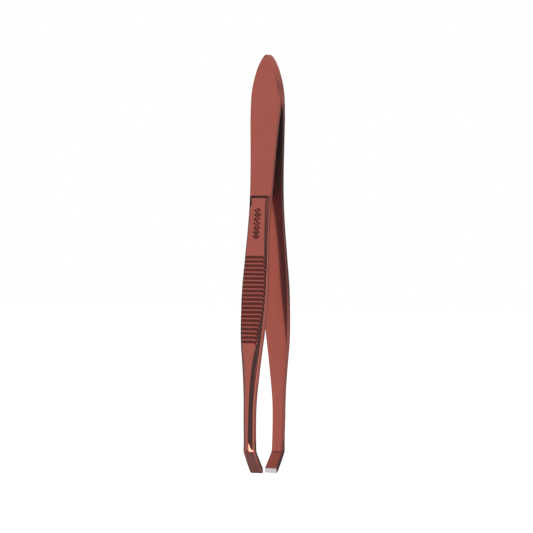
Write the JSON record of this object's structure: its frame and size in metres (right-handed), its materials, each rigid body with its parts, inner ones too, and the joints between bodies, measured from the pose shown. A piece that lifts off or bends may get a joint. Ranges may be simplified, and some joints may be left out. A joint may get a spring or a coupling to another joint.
{
  "type": "claw tweezers",
  "caption": "Claw-tip tweezers: coated spring-steel blades welded at a pointed head, with grooved grips and square tips bent inwards.",
  "frame": {"origin": "middle of the tip edges, at the lowest point of the standing tweezers", "axes": "+Z from the tips up to the head point, X is the direction in which the blades open, Y runs across a blade's width"},
  "size_m": [0.0114, 0.0092, 0.095],
  "materials": {
    "coated_steel": "glossy copper-brown metallic coating over polished spring steel",
    "bare_steel": "ground bare steel, fine cross scratches"
  },
  "bodies": {
    "head": {"front_blade_head": "coated_steel", "rear_blade_head": "coated_steel", "spot_weld_upper": "bare_steel", "spot_weld_lower": "bare_steel"},
    "front_arm": {"front_blade_arm": "coated_steel"},
    "rear_arm": {"rear_blade_arm": "coated_steel"}
  },
  "joints": [
    {"name": "front_blade_flex", "type": "hinge", "parent": "head", "child": "front_arm", "pos_m": [-0.00148, 0, 0.0693], "axis": [0, -1, 0], "range_deg": [0, 1.8], "stiffness_Nm_per_rad": 0.96},
    {"name": "rear_blade_flex", "type": "hinge", "parent": "head", "child": "rear_arm", "pos_m": [0.00148, 0, 0.0693], "axis": [0, 1, 0], "range_deg": [0, 1.8], "stiffness_Nm_per_rad": 0.96}
  ],
  "couplings": [
    {"joint": "rear_blade_flex", "follows": "front_blade_flex", "ratio": 1}
  ]
}
